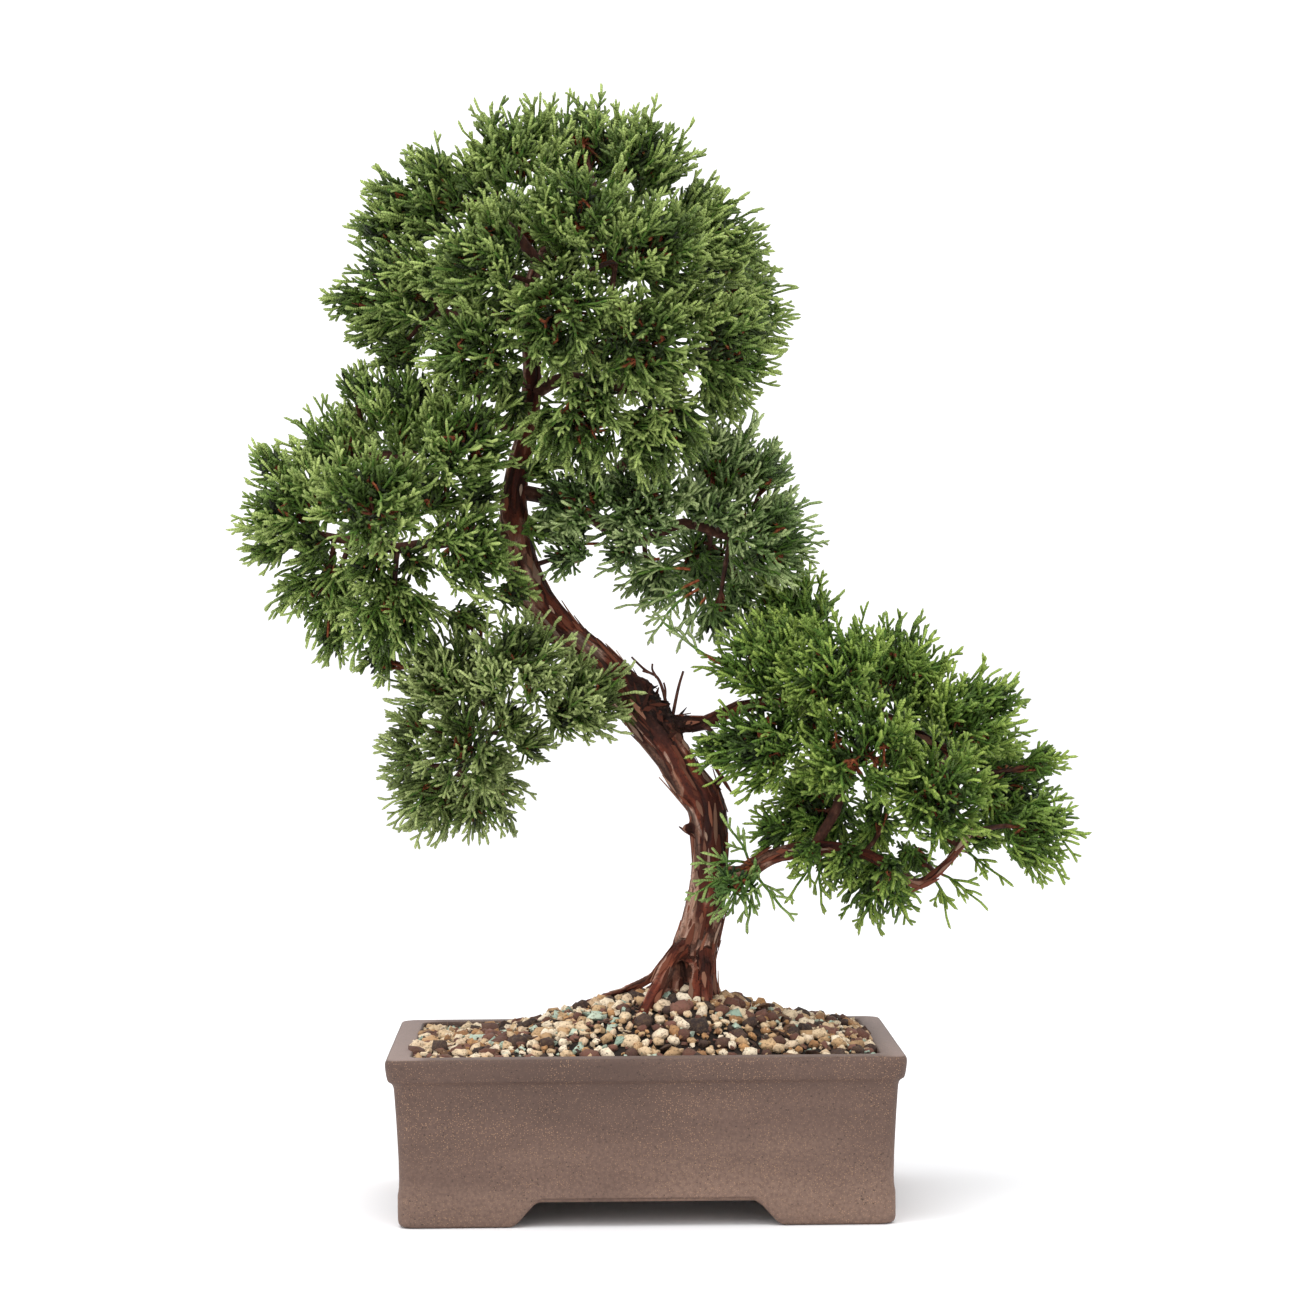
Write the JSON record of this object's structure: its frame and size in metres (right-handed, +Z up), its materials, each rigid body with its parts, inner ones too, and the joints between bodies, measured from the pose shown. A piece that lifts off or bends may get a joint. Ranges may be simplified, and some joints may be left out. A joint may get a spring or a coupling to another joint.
{
  "type": "chinese juniper bonsai",
  "caption": "Chinese juniper bonsai with a winding trunk and rounded foliage pads, rooted in gravel-topped soil in a footed rectangular clay pot.",
  "frame": {"origin": "middle of the whole object's footprint, on the floor that the pot's feet stand on", "axes": "+Z up, +X to the right seen from the front, +Y to the back"},
  "size_m": [0.3831, 0.1697, 0.5163],
  "materials": {
    "clay": "matte",
    "screen_plastic": "satin",
    "gravel": "matte",
    "bark": "matte",
    "foliage_crown": "matte",
    "foliage_left": "matte",
    "foliage_lower_left": "matte",
    "foliage_right": "matte",
    "foliage_lower_right": "matte",
    "foliage_trunk_sprig": "matte"
  },
  "bodies": {
    "root": {"pot": "clay", "drain_screen_left": "screen_plastic", "drain_screen_right": "screen_plastic", "soil": "gravel", "trunk": "bark", "crown_tuft_01": "foliage_crown", "crown_tuft_02": "foliage_crown", "crown_tuft_03": "foliage_crown", "crown_tuft_04": "foliage_crown", "crown_tuft_05": "foliage_crown", "crown_tuft_06": "foliage_crown", "crown_tuft_07": "foliage_crown", "crown_tuft_08": "foliage_crown", "crown_tuft_09": "foliage_crown", "crown_tuft_10": "foliage_crown", "crown_tuft_11": "foliage_crown", "crown_tuft_12": "foliage_crown", "crown_tuft_13": "foliage_crown", "crown_tuft_14": "foliage_crown", "crown_tuft_15": "foliage_crown", "crown_tuft_16": "foliage_crown", "crown_tuft_17": "foliage_crown", "crown_tuft_18": "foliage_crown", "crown_tuft_19": "foliage_crown", "crown_tuft_20": "foliage_crown", "left_tuft_01": "foliage_left", "left_tuft_02": "foliage_left", "left_tuft_03": "foliage_left", "left_tuft_04": "foliage_left", "left_tuft_05": "foliage_left", "left_tuft_06": "foliage_left", "left_tuft_07": "foliage_left", "left_tuft_08": "foliage_left", "left_tuft_09": "foliage_left", "lower_left_tuft_01": "foliage_lower_left", "lower_left_tuft_02": "foliage_lower_left", "lower_left_tuft_03": "foliage_lower_left", "lower_left_tuft_04": "foliage_lower_left", "lower_left_tuft_05": "foliage_lower_left", "lower_left_tuft_06": "foliage_lower_left", "right_tuft_01": "foliage_right", "right_tuft_02": "foliage_right", "right_tuft_03": "foliage_right", "right_tuft_04": "foliage_right", "right_tuft_05": "foliage_right", "right_tuft_06": "foliage_right", "lower_right_tuft_01": "foliage_lower_right", "lower_right_tuft_02": "foliage_lower_right", "lower_right_tuft_03": "foliage_lower_right", "lower_right_tuft_04": "foliage_lower_right", "lower_right_tuft_05": "foliage_lower_right", "lower_right_tuft_06": "foliage_lower_right", "lower_right_tuft_07": "foliage_lower_right", "lower_right_tuft_08": "foliage_lower_right", "lower_right_tuft_09": "foliage_lower_right", "lower_right_tuft_10": "foliage_lower_right", "lower_right_tuft_11": "foliage_lower_right", "lower_right_tuft_12": "foliage_lower_right", "lower_right_tuft_13": "foliage_lower_right", "trunk_sprig_tuft_01": "foliage_trunk_sprig"}
  },
  "joints": []
}
